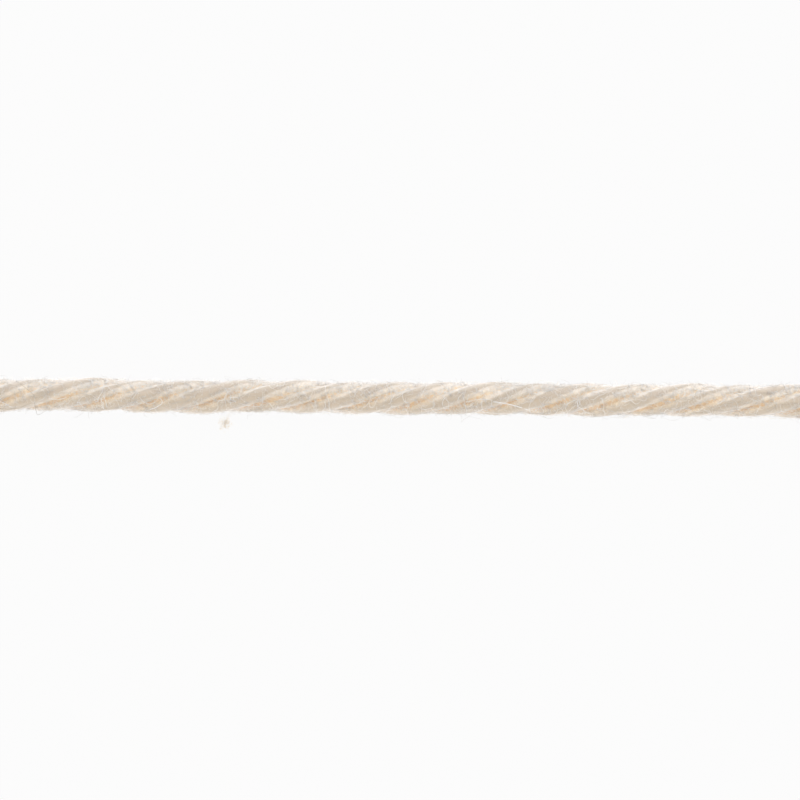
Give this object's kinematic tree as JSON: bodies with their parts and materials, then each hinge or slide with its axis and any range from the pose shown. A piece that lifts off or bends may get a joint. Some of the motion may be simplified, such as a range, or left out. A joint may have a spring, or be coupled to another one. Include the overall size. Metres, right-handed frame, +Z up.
{
  "type": "cut length of plied knitting yarn",
  "caption": "Straight cut length of soft plied wool knitting yarn: rounded singles twisted round each other with an S twist, lying on a surface, with plain cut ends.",
  "frame": {"origin": "centre of the strand's underside: midway along and across it, on the surface that it lies on", "axes": "+X along the strand, +Y sideways across it, +Z up from the surface"},
  "size_m": [0.067, 0.0026, 0.0024],
  "materials": {
    "wool": "matte cream undyed wool, softly fuzzy"
  },
  "bodies": {
    "root": {"ply_1": "wool", "ply_2": "wool", "ply_3": "wool", "ply_4": "wool"}
  },
  "joints": []
}
